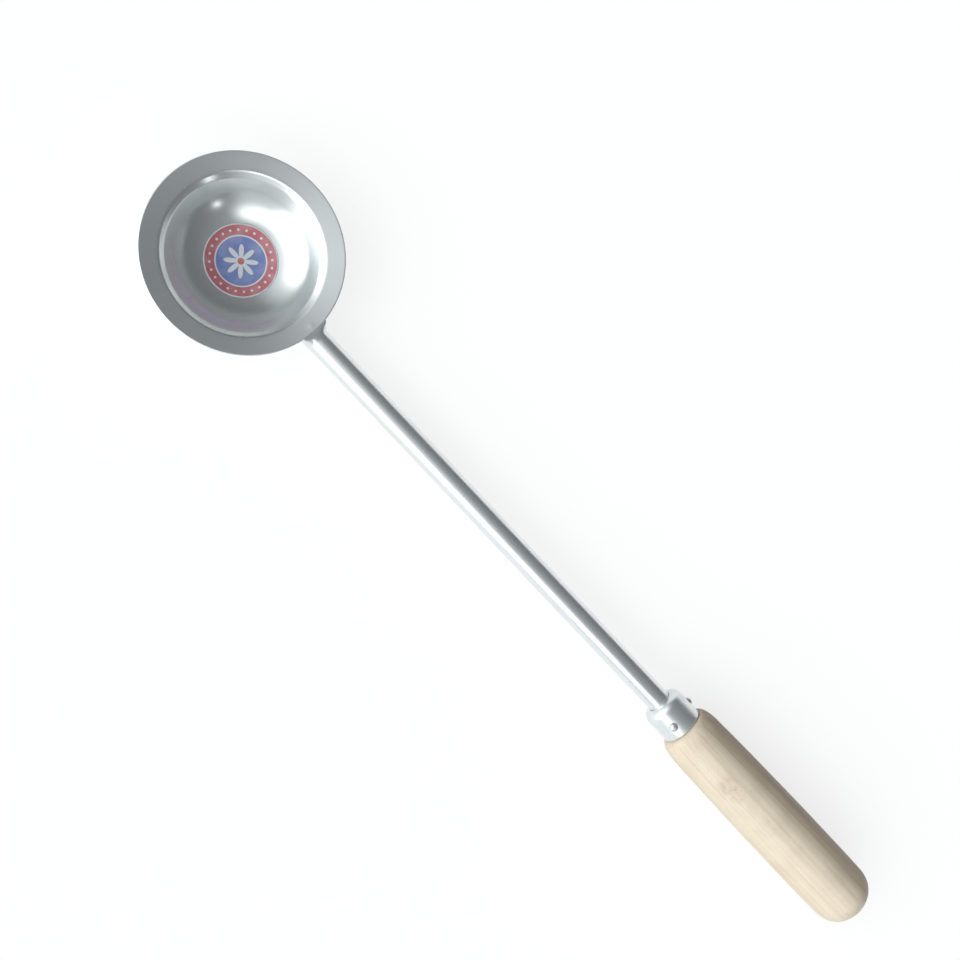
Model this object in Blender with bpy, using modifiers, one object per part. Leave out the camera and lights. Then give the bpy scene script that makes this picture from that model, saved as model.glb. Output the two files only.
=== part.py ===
"""Serving ladle: a pressed steel bowl on a straight tube, with a ferruled wooden grip.

The ladle lies as it does on a table: the bowl and the grip touch the plane z = 0, +X runs from
the bowl to the grip and +Z is up. Every length is in metres.
"""

import math

import bpy
import bmesh
import numpy as np
from mathutils import Vector

# Bowl, measured from the plane of the rim
RIM_RADIUS = 0.0490
SHEET = 0.0010
EDGE_ROUND = 0.0004
BRIM_WIDTH = 0.0098
BRIM_SLOPE = math.radians(17.0)
SHOULDER_RADIUS = 0.0050
WALL_SLOPE = math.radians(54.0)
CORNER_RADIUS = 0.0320
BOWL_DEPTH = 0.0220

# Round label on the floor of the bowl
LABEL_RADIUS = 0.0184
LABEL_THICKNESS = 0.0002

# Tube shaft, whose lengths run outwards along its axis from under the edge of the rim. Its slope
# is the one at which its crown passes under the rim and its foot meets the wall at this depth.
FOOT_DEPTH_SHARE = 0.85
TUBE_RADIUS = 0.00635
TUBE_WALL = 0.0008
SHAFT_LENGTH = 0.2575
TANG_LENGTH = 0.0500

# Weld beads between the tube and the bowl
WALL_BEAD_RADIUS = 0.0015
WALL_BEAD_START = math.radians(42.0)
RIM_BEAD_RADIUS = 0.0016
RIM_BEAD_HALF_ANGLE = math.radians(70.0)
BEAD_TIP_SHARE = 0.6

# Ferrule, a drawn steel cup over the tenon of the grip
FERRULE_RADIUS = 0.0112
FERRULE_WALL = 0.0008
FERRULE_LENGTH = 0.0177
FERRULE_SHOULDER_SHARE = 0.85

# Three dome-headed nails through the ferrule, the tenon and the wall of the tube
NAIL_COUNT = 3
NAIL_FIRST_ANGLE = math.radians(-30.0)
NAIL_SHANK_RADIUS = 0.0010
NAIL_SHANK_LENGTH = 0.0080
NAIL_POINT_LENGTH = 0.0016
NAIL_HEAD_RADIUS = 0.0022
NAIL_HEAD_HEIGHT = 0.0014
NAIL_FROM_FERRULE_TOP = 0.0112

# Turned wooden grip
GRIP_LENGTH = 0.1318
GRIP_FACE_RADIUS = 0.0119
GRIP_FRONT_RADIUS = 0.0154
GRIP_FRONT_ROUND = 0.0110
GRIP_SWELL_RADIUS = 0.0166
GRIP_SWELL_FROM_END = 0.0380
GRIP_END_RADIUS = 0.0163
GRIP_END_ROUND = 0.0124
GRIP_END_FLAT = 0.0044
TENON_CHAMFER_SHARE = 0.8

# Clearance between pieces that touch
GAP = 0.0003

# Facets round each turned shape, and along each round of a profile
BOWL_STEPS = 60
TUBE_STEPS = 32
GRIP_STEPS = 40
NAIL_STEPS = 16
BEAD_POINTS = 40
BEAD_RESOLUTION = 2
ROUND_POINTS = 8
EDGE_POINTS = 3
NAIL_HEAD_POINTS = 5
JOIN_DISTANCE = 0.00001
SEARCH_POINTS = 1200
TILT_HALVINGS = 60

# Derived places
TUBE_BORE = TUBE_RADIUS - TUBE_WALL
TUBE_SEAT = TUBE_RADIUS + GAP
TENON_RADIUS = FERRULE_RADIUS - FERRULE_WALL - GAP
FERRULE_SHOULDER = FERRULE_SHOULDER_SHARE * (FERRULE_RADIUS - TUBE_SEAT)
FERRULE_END = SHAFT_LENGTH + FERRULE_LENGTH
GRIP_START = FERRULE_END + GAP
GRIP_END = GRIP_START + GRIP_LENGTH
TUBE_END = GRIP_START + TANG_LENGTH
NAIL_STATION = SHAFT_LENGTH + NAIL_FROM_FERRULE_TOP
BRIM_DROP = BRIM_WIDTH * math.tan(BRIM_SLOPE)
CROWN_DROP = SHEET / math.cos(BRIM_SLOPE) + GAP


def fresh_scene():
    """Empty the scene and give the collections for the parts and for the cutters."""
    for old in list(bpy.data.objects):
        bpy.data.objects.remove(old, do_unlink=True)
    parts = bpy.data.collections.new("serving_ladle")
    cutters = bpy.data.collections.new("cutters")
    bpy.context.scene.collection.children.link(parts)
    bpy.context.scene.collection.children.link(cutters)
    return parts, cutters


PARTS, CUTTERS = fresh_scene()


def principled(name, colour, roughness, metallic):
    """A plain Principled material."""
    material = bpy.data.materials.new(name)
    material.use_nodes = True
    shader = material.node_tree.nodes["Principled BSDF"]
    shader.inputs["Base Color"].default_value = (*colour, 1.0)
    shader.inputs["Roughness"].default_value = roughness
    shader.inputs["Metallic"].default_value = metallic
    return material


def empty(name, parent=None):
    """An empty that carries the pieces of one axis."""
    holder = bpy.data.objects.new(name, None)
    holder.parent = parent
    PARTS.objects.link(holder)
    return holder


def place(name, data, parent, material):
    """Put a mesh or curve in the parts collection, or among the cutters if it has no material."""
    piece = bpy.data.objects.new(name, data)
    piece.parent = parent
    if material is None:
        piece.hide_render = True
        piece.display_type = "WIRE"
        CUTTERS.objects.link(piece)
    else:
        data.materials.append(material)
        PARTS.objects.link(piece)
    return piece


def turned(name, profile, closed, steps, parent, material=None):
    """Turn a profile of (radius, height) points about Z, half a facet round from +X."""
    mesh = bpy.data.meshes.new(name)
    count = len(profile)
    edges = [(i, i + 1) for i in range(count - 1)]
    if closed:
        edges.append((count - 1, 0))
    mesh.from_pydata([(radius, 0.0, height) for radius, height in profile], edges, [])
    piece = place(name, mesh, parent, material)
    piece.rotation_euler.z = math.pi / steps
    screw = piece.modifiers.new("turn", "SCREW")
    screw.steps = steps
    screw.render_steps = steps
    screw.use_merge_vertices = True
    screw.merge_threshold = JOIN_DISTANCE
    screw.use_smooth_shade = True
    return piece


def cut(piece, cutter):
    """Take the cutter out of the piece."""
    boolean = piece.modifiers.new("cut", "BOOLEAN")
    boolean.operation = "DIFFERENCE"
    boolean.solver = "EXACT"
    boolean.object = cutter


def rounded(corners):
    """Points along a path of (radius, height, round) corners, each round an arc of equal steps."""
    points = []
    for index, (x, z, fillet) in enumerate(corners):
        here = Vector((x, z))
        if fillet == 0.0:
            points.append(here)
            continue
        back = (Vector(corners[index - 1][:2]) - here).normalized()
        ahead = (Vector(corners[index + 1][:2]) - here).normalized()
        half = back.angle(ahead) / 2.0
        centre = here + (back + ahead).normalized() * (fillet / math.sin(half))
        first = here + back * (fillet / math.tan(half)) - centre
        sweep = first.angle_signed(here + ahead * (fillet / math.tan(half)) - centre)
        steps = ROUND_POINTS if fillet > EDGE_ROUND else EDGE_POINTS
        for step in range(steps + 1):
            turn = -sweep * step / steps
            points.append(centre + Vector((
                first.x * math.cos(turn) - first.y * math.sin(turn),
                first.x * math.sin(turn) + first.y * math.cos(turn),
            )))
    return [(max(point.x, 0.0), point.y) for point in points]


def ellipse(centre, radial, axial, start, stop, count=ROUND_POINTS):
    """Points of an ellipse in the profile plane, from angle start to angle stop."""
    angles = np.linspace(start, stop, count + 1)
    return [(centre[0] + radial * math.cos(a), centre[1] + axial * math.sin(a)) for a in angles]


# Bowl

def bowl_face(depth):
    """Corners of a face that lies depth below the upper face of the sheet, from axis to rim."""
    brim_shift = depth / math.cos(BRIM_SLOPE)
    wall_shift = depth / math.sin(WALL_SLOPE)
    floor = -BOWL_DEPTH - depth
    # The brim and the wall are straight lines in the profile, moved square to themselves.
    brim_slope = math.tan(BRIM_SLOPE)
    wall_slope = math.tan(WALL_SLOPE)
    brim_at_axis = -RIM_RADIUS * brim_slope - brim_shift
    wall_at_axis = -BRIM_DROP - (RIM_RADIUS - BRIM_WIDTH + wall_shift) * wall_slope
    shoulder = (brim_at_axis - wall_at_axis) / (wall_slope - brim_slope)
    corner = (floor - wall_at_axis) / wall_slope
    return [
        (0.0, floor, 0.0),
        (corner, floor, CORNER_RADIUS + depth),
        (shoulder, brim_at_axis + shoulder * brim_slope, SHOULDER_RADIUS - depth),
        (RIM_RADIUS, brim_at_axis + RIM_RADIUS * brim_slope, 0.0),
    ]


def bowl_profile():
    """The sheet's section: up its upper face, round the rim and down its lower face."""
    upper = bowl_face(0.0)
    lower = bowl_face(SHEET)
    upper[-1] = upper[-1][:2] + (EDGE_ROUND,)
    lower[-1] = lower[-1][:2] + (EDGE_ROUND,)
    return rounded(upper + lower[::-1])


def bowl_envelope():
    """The solid under the outside of the bowl and over its brim, larger by the clearance."""
    outer = bowl_face(SHEET + GAP)
    edge = RIM_RADIUS + GAP
    outer[-1] = (edge, outer[-1][1], 0.0)
    return rounded([(0.0, TUBE_RADIUS, 0.0), (edge, TUBE_RADIUS, 0.0)] + outer[::-1])


def label_profile():
    """A skin over the floor of the bowl that follows the round of its corner."""
    def skin(height):
        points = rounded(bowl_face(-height))
        inner = [point for point in points if point[0] < LABEL_RADIUS]
        radii = [point[0] for point in points]
        heights = [point[1] for point in points]
        edge = float(np.interp(LABEL_RADIUS, radii, heights))
        return inner + [(LABEL_RADIUS, edge)]
    upper = skin(GAP + LABEL_THICKNESS)
    lower = skin(GAP)
    return upper + lower[::-1]


REST = empty("ladle_rest")
BOWL_AXIS = empty("bowl_axis", REST)

bowl_steel = principled("bowl_steel", (0.72, 0.73, 0.74), 0.18, 1.0)
bowl = turned("bowl", bowl_profile(), False, BOWL_STEPS, BOWL_AXIS, bowl_steel)
bowl_cutter = turned("bowl_cutter", bowl_envelope(), False, BOWL_STEPS, BOWL_AXIS)

label_paper = principled("label_paper", (0.20, 0.25, 0.55), 0.40, 0.0)
turned("label", label_profile(), False, BOWL_STEPS, BOWL_AXIS, label_paper)


# Tube shaft, with its near end cut to the wall of the bowl

OUTER_FACE = np.array(rounded(bowl_face(SHEET)))


def wall_radius(heights):
    """Radius of the bowl's outside at some heights, and nothing below its floor."""
    return np.interp(heights, OUTER_FACE[:, 1], OUTER_FACE[:, 0], left=0.0)


def shaft_angle():
    """Slope of two parallel lines a tube apart, one under the rim and one at the foot."""
    foot_height = -FOOT_DEPTH_SHARE * BOWL_DEPTH
    across = RIM_RADIUS - float(wall_radius(foot_height))
    up = -CROWN_DROP - foot_height
    return math.atan2(up, across) - math.asin(2.0 * TUBE_RADIUS / math.hypot(across, up))


SHAFT_ANGLE = shaft_angle()
AXIS_DROP = CROWN_DROP + TUBE_RADIUS / math.cos(SHAFT_ANGLE)

SHAFT_AXIS = empty("shaft_axis", REST)
SHAFT_AXIS.location = (RIM_RADIUS, 0.0, -AXIS_DROP)
SHAFT_AXIS.rotation_euler.y = math.pi / 2.0 - SHAFT_ANGLE

SHAFT_OUT = Vector((math.cos(SHAFT_ANGLE), 0.0, math.sin(SHAFT_ANGLE)))
SHAFT_UP = Vector((-math.sin(SHAFT_ANGLE), 0.0, math.cos(SHAFT_ANGLE)))
SHAFT_SIDE = Vector((0.0, 1.0, 0.0))


def tube_line(angle, radius):
    """The point beside the rim on the line of the tube's surface at an angle from its crown."""
    around = SHAFT_UP * math.cos(angle) + SHAFT_SIDE * math.sin(angle)
    return SHAFT_AXIS.location + around * radius


def reach_of_wall(angle):
    """How far in along the shaft a line of the tube meets the wall, or comes nearest to it."""
    start = tube_line(angle, TUBE_RADIUS)
    steps = np.linspace(0.0, 2.0 * RIM_RADIUS, SEARCH_POINTS)
    x = start.x - steps * SHAFT_OUT.x
    z = start.z - steps * SHAFT_OUT.z
    clear = np.hypot(x, start.y) - wall_radius(z)
    inside = np.nonzero(clear < 0.0)[0]
    index = inside[0] if len(inside) else int(np.argmin(clear))
    return float(steps[index])


WALL_ANGLES = np.linspace(WALL_BEAD_START, 2.0 * math.pi - WALL_BEAD_START, BEAD_POINTS)
WALL_REACHES = [reach_of_wall(angle) for angle in WALL_ANGLES]
TUBE_START = -max(WALL_REACHES) - SHEET

shaft_steel = principled("shaft_steel", (0.66, 0.67, 0.68), 0.32, 1.0)
tube = turned("shaft_tube", [
    (TUBE_RADIUS, TUBE_END),
    (TUBE_RADIUS, TUBE_START),
    (TUBE_BORE, TUBE_START),
    (TUBE_BORE, TUBE_END),
], True, TUBE_STEPS, SHAFT_AXIS, shaft_steel)
cut(tube, bowl_cutter)


# Weld beads

tube_cutter = turned("tube_cutter", [
    (0.0, TUBE_END),
    (TUBE_SEAT, TUBE_END),
    (TUBE_SEAT, TUBE_START),
    (0.0, TUBE_START),
], False, TUBE_STEPS, SHAFT_AXIS)

weld_steel = principled("weld_steel", (0.55, 0.56, 0.57), 0.45, 1.0)


def bead(name, path, radius):
    """A weld bead along a path, thinner at its ends, fitted to the bowl and the tube."""
    curve = bpy.data.curves.new(name, "CURVE")
    curve.dimensions = "3D"
    curve.bevel_depth = radius
    curve.bevel_resolution = BEAD_RESOLUTION
    curve.use_fill_caps = True
    spline = curve.splines.new("POLY")
    spline.points.add(len(path) - 1)
    for index, (point, here) in enumerate(zip(spline.points, path)):
        point.co = (*here, 1.0)
        fullness = math.sin(math.pi * index / (len(path) - 1))
        point.radius = BEAD_TIP_SHARE + (1.0 - BEAD_TIP_SHARE) * fullness
    wire = bpy.data.objects.new(name + "_path", curve)
    CUTTERS.objects.link(wire)
    depsgraph = bpy.context.evaluated_depsgraph_get()
    solid = bpy.data.meshes.new_from_object(wire.evaluated_get(depsgraph))
    bpy.data.objects.remove(wire, do_unlink=True)
    welded = bmesh.new()
    welded.from_mesh(solid)
    bmesh.ops.remove_doubles(welded, verts=welded.verts, dist=JOIN_DISTANCE)
    bmesh.ops.recalc_face_normals(welded, faces=welded.faces)
    welded.to_mesh(solid)
    welded.free()
    solid.name = name
    piece = place(name, solid, BOWL_AXIS, weld_steel)
    cut(piece, bowl_cutter)
    cut(piece, tube_cutter)
    return piece


wall_path = [
    tube_line(angle, TUBE_SEAT) - SHAFT_OUT * reach
    for angle, reach in zip(WALL_ANGLES, WALL_REACHES)
]
bead("wall_weld", wall_path, WALL_BEAD_RADIUS)


def rim_point(angle):
    """Where the line of the tube at an angle from its crown passes the edge of the rim."""
    start = tube_line(angle, TUBE_SEAT)
    edge = RIM_RADIUS + GAP
    return start + SHAFT_OUT * ((math.sqrt(edge**2 - start.y**2) - start.x) / SHAFT_OUT.x)


rim_angles = np.linspace(-RIM_BEAD_HALF_ANGLE, RIM_BEAD_HALF_ANGLE, BEAD_POINTS // 2)
bead("rim_weld", [rim_point(angle) for angle in rim_angles], RIM_BEAD_RADIUS)


# Ferrule

def ferrule_profile():
    """A cup with a round shoulder and a hole for the tube, as a closed section."""
    inner = FERRULE_RADIUS - FERRULE_WALL
    under = SHAFT_LENGTH + FERRULE_WALL
    return rounded([
        (inner, under, FERRULE_SHOULDER - FERRULE_WALL),
        (inner, FERRULE_END, 0.0),
        (FERRULE_RADIUS, FERRULE_END, 0.0),
        (FERRULE_RADIUS, SHAFT_LENGTH, FERRULE_SHOULDER),
        (TUBE_SEAT, SHAFT_LENGTH, 0.0),
        (TUBE_SEAT, under, 0.0),
    ])


ferrule_steel = principled("ferrule_steel", (0.68, 0.69, 0.70), 0.28, 1.0)
ferrule = turned("ferrule", ferrule_profile(), True, GRIP_STEPS, SHAFT_AXIS, ferrule_steel)


# Turned grip with its tenon and the bore for the tang

def swell(station):
    """Radius of the grip's side, largest at the swell and smaller towards both ends."""
    widest = GRIP_END - GRIP_SWELL_FROM_END
    if station < widest:
        span = widest - GRIP_START - GRIP_FRONT_ROUND
        fall = GRIP_SWELL_RADIUS - GRIP_FRONT_RADIUS
        return GRIP_SWELL_RADIUS - fall * ((widest - station) / span) ** 2
    span = GRIP_SWELL_FROM_END - GRIP_END_ROUND
    fall = GRIP_SWELL_RADIUS - GRIP_END_RADIUS
    return GRIP_SWELL_RADIUS - fall * ((station - widest) / span) ** 2


def grip_profile():
    """Section of the grip, from the far end back to the tenon and in along the bore."""
    tenon_edge = SHAFT_LENGTH + FERRULE_SHOULDER + GAP
    chamfer = min(FERRULE_SHOULDER - FERRULE_WALL, TENON_CHAMFER_SHARE * (TENON_RADIUS - TUBE_SEAT))
    front = GRIP_START + GRIP_FRONT_ROUND
    back = GRIP_END - GRIP_END_ROUND
    end_width = GRIP_END_RADIUS - GRIP_END_FLAT
    end_round = ellipse((GRIP_END_FLAT, back), end_width, GRIP_END_ROUND, math.pi / 2.0, 0.0)
    side = [(swell(at), at) for at in np.linspace(back, front, ROUND_POINTS + 2)[1:-1]]
    front_width = GRIP_FRONT_RADIUS - GRIP_FACE_RADIUS
    front_round = ellipse((GRIP_FACE_RADIUS, front), front_width, GRIP_FRONT_ROUND, 0.0, -math.pi / 2.0)
    return [
        (0.0, GRIP_END),
        *end_round,
        *side,
        *front_round,
        (TENON_RADIUS, GRIP_START),
        (TENON_RADIUS, tenon_edge),
        (TENON_RADIUS - chamfer, tenon_edge - chamfer),
        (TUBE_SEAT, tenon_edge - chamfer),
        (TUBE_SEAT, TUBE_END + GAP),
        (0.0, TUBE_END + GAP),
    ]


grip_wood = principled("grip_wood", (0.72, 0.60, 0.43), 0.55, 0.0)
grip = turned("grip", grip_profile(), False, GRIP_STEPS, SHAFT_AXIS, grip_wood)


# Nails and their holes

nail_steel = principled("nail_steel", (0.60, 0.61, 0.63), 0.30, 1.0)


def nail_profile():
    """A nail pointing down its own Z axis, with the underside of its head at z = 0."""
    head = ellipse((0.0, 0.0), NAIL_HEAD_RADIUS, NAIL_HEAD_HEIGHT, math.pi / 2.0, 0.0, NAIL_HEAD_POINTS)
    return [
        *head,
        (NAIL_SHANK_RADIUS, 0.0),
        (NAIL_SHANK_RADIUS, NAIL_POINT_LENGTH - NAIL_SHANK_LENGTH),
        (0.0, -NAIL_SHANK_LENGTH),
    ]


def nail_hole_profile():
    """The hole that a nail passes through, wider than its shank by the clearance."""
    bore = NAIL_SHANK_RADIUS + GAP
    return [
        (0.0, NAIL_HEAD_HEIGHT),
        (bore, NAIL_HEAD_HEIGHT),
        (bore, -NAIL_SHANK_LENGTH - GAP),
        (0.0, -NAIL_SHANK_LENGTH - GAP),
    ]


def set_in_ferrule(piece, angle):
    """Turn a nail, or its hole, to point at the shaft's axis from an angle round the crown."""
    around = Vector((-math.cos(angle), math.sin(angle), 0.0))
    piece.location = around * (FERRULE_RADIUS + GAP) + Vector((0.0, 0.0, NAIL_STATION))
    piece.rotation_mode = "QUATERNION"
    piece.rotation_quaternion = around.to_track_quat("Z", "Y")


for number in range(NAIL_COUNT):
    nail_angle = NAIL_FIRST_ANGLE + number * 2.0 * math.pi / NAIL_COUNT
    nail = turned(f"ferrule_nail_{number + 1}", nail_profile(), False, NAIL_STEPS, SHAFT_AXIS, nail_steel)
    set_in_ferrule(nail, nail_angle)
    hole = turned(f"nail_hole_{number + 1}", nail_hole_profile(), False, NAIL_STEPS, SHAFT_AXIS)
    set_in_ferrule(hole, nail_angle)
    cut(ferrule, hole)
    cut(grip, hole)
    cut(tube, hole)


# Lay the ladle down until the bowl and the grip both touch the table

def world_points(piece):
    """Corners of a piece as its modifiers leave it, in world space."""
    evaluated = piece.evaluated_get(bpy.context.evaluated_depsgraph_get())
    mesh = evaluated.to_mesh()
    corners = np.empty(len(mesh.vertices) * 3)
    mesh.vertices.foreach_get("co", corners)
    evaluated.to_mesh_clear()
    matrix = np.array(piece.matrix_world)
    return corners.reshape(-1, 3) @ matrix[:3, :3].T + matrix[:3, 3]


def lowest(points, tilt):
    """Height of the lowest point after a turn about Y that lowers +X."""
    return float(np.min(points[:, 2] * math.cos(tilt) - points[:, 0] * math.sin(tilt)))


def rest_tilt():
    """The turn at which the bowl and the grip reach equally low, found by halving."""
    bowl_points = world_points(bowl)
    grip_points = world_points(grip)
    low, high = 0.0, math.pi / 2.0
    for _ in range(TILT_HALVINGS):
        middle = (low + high) / 2.0
        if lowest(grip_points, middle) > lowest(bowl_points, middle):
            low = middle
        else:
            high = middle
    return high


bpy.context.view_layer.update()
REST.rotation_euler.y = rest_tilt()
bpy.context.view_layer.update()
corners = np.concatenate([world_points(bowl), world_points(grip)])
low_corner = corners.min(axis=0)
high_corner = corners.max(axis=0)
REST.location = (-(low_corner[0] + high_corner[0]) / 2.0, 0.0, -low_corner[2])
bpy.context.view_layer.update()
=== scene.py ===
import math

import bmesh
import bpy
import numpy as np
from mathutils import Matrix


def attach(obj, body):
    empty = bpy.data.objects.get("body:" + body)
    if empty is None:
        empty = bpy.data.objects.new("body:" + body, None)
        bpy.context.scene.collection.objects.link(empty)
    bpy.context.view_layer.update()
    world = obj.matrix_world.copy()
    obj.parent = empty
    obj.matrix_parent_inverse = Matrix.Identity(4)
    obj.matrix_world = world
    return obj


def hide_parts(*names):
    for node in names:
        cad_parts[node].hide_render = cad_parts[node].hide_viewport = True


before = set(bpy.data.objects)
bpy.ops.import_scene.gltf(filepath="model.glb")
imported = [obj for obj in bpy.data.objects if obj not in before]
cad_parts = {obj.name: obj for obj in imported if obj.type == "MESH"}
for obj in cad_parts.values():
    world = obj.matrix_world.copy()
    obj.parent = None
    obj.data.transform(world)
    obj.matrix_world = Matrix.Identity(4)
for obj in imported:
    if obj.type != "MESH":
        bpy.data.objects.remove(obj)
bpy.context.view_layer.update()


# Bowl: a round dish with a small flat floor and a sloping brim, spun from one disc of 1 mm
# stainless sheet. The dish is buffed, the brim keeps the satin of the last pass, and the edge is
# sanded to a half round. The bowl leans towards the grip, because the ladle lies on its grip too.
RIM_CENTRE = np.array((-0.2029900, 0.0, 0.0245636))
BOWL_LEAN = math.radians(9.29394683)
BOWL_AHEAD = np.array((math.cos(BOWL_LEAN), 0.0, -math.sin(BOWL_LEAN)))
BOWL_UP = np.array((math.sin(BOWL_LEAN), 0.0, math.cos(BOWL_LEAN)))
SIDE = np.array((0.0, 1.0, 0.0))
SHEET = 0.0010
BOWL_DEPTH = 0.0220
BOWL_BENDS = (
    (0.00646, 0.0),  # flat floor
    (0.02993, 49.0),  # wall, bending up
    (0.00588, 0.0),  # wall, straight
    (0.00120, -9.0),  # lower bend of the shoulder
    (0.00230, 0.0),  # step of the shoulder
    (0.00120, -23.0),  # upper bend of the shoulder
    (0.00833, 0.0),  # brim
)
BEND_EASE = 0.0010
DISH_ROWS = 100
SHOULDER_ROWS = 40
SHOULDER_SHARES = (0.74, 0.90)
EDGE_ROWS = 9
BOWL_COLUMNS = 256
SAME_POINT = 1e-7
BRIM_START = 0.0400
BRIM_WIDTH = 0.0090
BRIM_WAVE = 0.00013
BRIM_FLUTTER = 0.00006
HUMP_OUT = 0.0460
HUMP_TURN = 0.02
HUMP_SPREAD = 0.0012
HUMP_RISE = 0.00016
SATIN_EDGE = (0.0392, 0.0420)
SPIN_LINES = 900.0
SPIN_WANDER = 1.2
SPIN_GRAIN = 0.000004
JOINT_AHEAD = 0.0310
JOINT_BELOW = 0.0125
STRAW_REACH = (0.0085, 0.0175)
BLUE_REACH = (0.0075, 0.0115)
STEEL_LIGHT = (0.80, 0.84, 0.845, 1.0)
STEEL_DARK = (0.70, 0.74, 0.745, 1.0)
STRAW_TINT = (0.66, 0.55, 0.36, 1.0)
BLUE_TINT = (0.38, 0.43, 0.54, 1.0)


class Tone:
    """A shader socket that Python's operators work on. Each operator adds one Math node, and node()
    adds any other kind, with its settings made before its sockets are filled or linked."""

    def __init__(self, tree, socket=None):
        self.tree = tree
        self.socket = socket

    def fill(self, node, sockets):
        """Sets the sockets of a node, by a link where the value is a Tone."""
        for name, value in sockets.items():
            if isinstance(value, Tone):
                self.tree.links.new(value.socket, node.inputs[name])
            else:
                node.inputs[name].default_value = value

    def node(self, kind, settings, sockets, out=0):
        """One output of a new node of a kind."""
        made = self.tree.nodes.new("ShaderNode" + kind)
        for name, value in settings.items():
            setattr(made, name, value)
        self.fill(made, sockets)
        return Tone(self.tree, made.outputs[out])

    def out(self, name):
        """Another output of the node that this socket is on."""
        return Tone(self.tree, self.socket.node.outputs[name])

    def math(self, operation, *values):
        """One Math node on values or sockets."""
        return self.node("Math", {"operation": operation}, dict(enumerate(values)))

    def __add__(self, other):
        return self.math("ADD", self, other)

    def __radd__(self, other):
        return self.math("ADD", other, self)

    def __sub__(self, other):
        return self.math("SUBTRACT", self, other)

    def __rsub__(self, other):
        return self.math("SUBTRACT", other, self)

    def __mul__(self, other):
        return self.math("MULTIPLY", self, other)

    def __rmul__(self, other):
        return self.math("MULTIPLY", other, self)

    def __truediv__(self, other):
        return self.math("DIVIDE", self, other)

    def __rtruediv__(self, other):
        return self.math("DIVIDE", other, self)

    def __pow__(self, other):
        return self.math("POWER", self, other)

    def __rpow__(self, other):
        return self.math("POWER", other, self)

    def span(self, *others):
        """The length whose parts are this value and the others: the root of their squares' sum."""
        total = self * self
        for other in others:
            total = total + other * other
        return total ** 0.5

    def between(self, low, high):
        """0 below low, 1 above high, and a smooth step from one to the other."""
        sockets = {"Value": self, "From Min": low, "From Max": high}
        return self.node("MapRange", {"interpolation_type": "SMOOTHSTEP"}, sockets)

    def blend(self, first, second):
        """The first colour where this value is 0, and the second where it is 1."""
        return self.node("Mix", {"data_type": "RGBA"}, {0: self, 6: first, 7: second}, 2)

    def laid(self, origin, lean):
        """Object coordinates measured from an origin, in axes that lean by an angle about Y."""
        where = self.node("TexCoord", {}, {}, "Object")
        sockets = {"Vector": where, "Location": tuple(origin), "Rotation": (0.0, lean, 0.0)}
        return self.node("Mapping", {"vector_type": "TEXTURE"}, sockets)

    def axes(self):
        """The three parts of this vector."""
        split = self.node("SeparateXYZ", {}, {"Vector": self})
        return split.out("X"), split.out("Y"), split.out("Z")

    def stretched(self, scale):
        """This vector with each axis multiplied by its own number."""
        return self.node("Mapping", {"vector_type": "POINT"}, {"Vector": self, "Scale": scale})

    def noise(self, scale, detail=2.0):
        """Smooth noise at this vector, from 0 to 1."""
        return self.node("TexNoise", {}, {"Vector": self, "Scale": scale, "Detail": detail})

    def hairlines(self, scale, width):
        """Scratches: thin lines on which a noise passes its middle, where a finer noise is high."""
        away = self.noise(scale, 1.0) - 0.5
        line = 1.0 - self.math("ABSOLUTE", away) / width
        return line.between(0.0, 1.0) * self.noise(scale * 2.3, 1.0).between(0.50, 0.62)

    def bump(self, distance):
        """A surface normal from this value as a height, in metres at its full value."""
        return self.node("Bump", {}, {"Height": self, "Distance": distance, "Strength": 1.0})


def new_finish(name):
    """A new material, the start of its node maths, and its Principled shader."""
    material = bpy.data.materials.new(name)
    material.use_nodes = True
    return material, Tone(material.node_tree), material.node_tree.nodes["Principled BSDF"]


def skin(name, grid, material, loop=False, marks=None):
    """A mesh on a grid of points, rows by columns by xyz, with one face to each cell. The columns
    close to a ring, and so do the rows of a loop; a row of equal points becomes a pole. Marks are
    attributes with one number for each point."""
    rows, columns = grid.shape[:2]
    index = np.arange(rows * columns).reshape(rows, columns)
    near = index if loop else index[:-1]
    far = np.roll(index, -1, axis=0) if loop else index[1:]
    faces = np.stack((near, np.roll(near, -1, 1), np.roll(far, -1, 1), far), axis=-1)
    mesh = bpy.data.meshes.new(name)
    mesh.from_pydata(grid.reshape(-1, 3), [], faces.reshape(-1, 4))
    for mark, values in (marks or {}).items():
        layer = mesh.attributes.new(mark, "FLOAT", "POINT")
        layer.data.foreach_set("value", np.ascontiguousarray(values, dtype=np.float32).ravel())
    shell = bmesh.new()
    shell.from_mesh(mesh)
    bmesh.ops.remove_doubles(shell, verts=shell.verts, dist=SAME_POINT)
    bmesh.ops.recalc_face_normals(shell, faces=shell.faces)
    shell.to_mesh(mesh)
    shell.free()
    mesh.polygons.foreach_set("use_smooth", np.ones(len(mesh.polygons), dtype=bool))
    mesh.materials.append(material)
    piece = bpy.data.objects.new(name, mesh)
    bpy.context.scene.collection.objects.link(piece)
    return piece


def ring_turns(count):
    """Angles spread evenly round a full circle, from minus half a turn."""
    return np.linspace(-math.pi, math.pi, count, endpoint=False)


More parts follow.
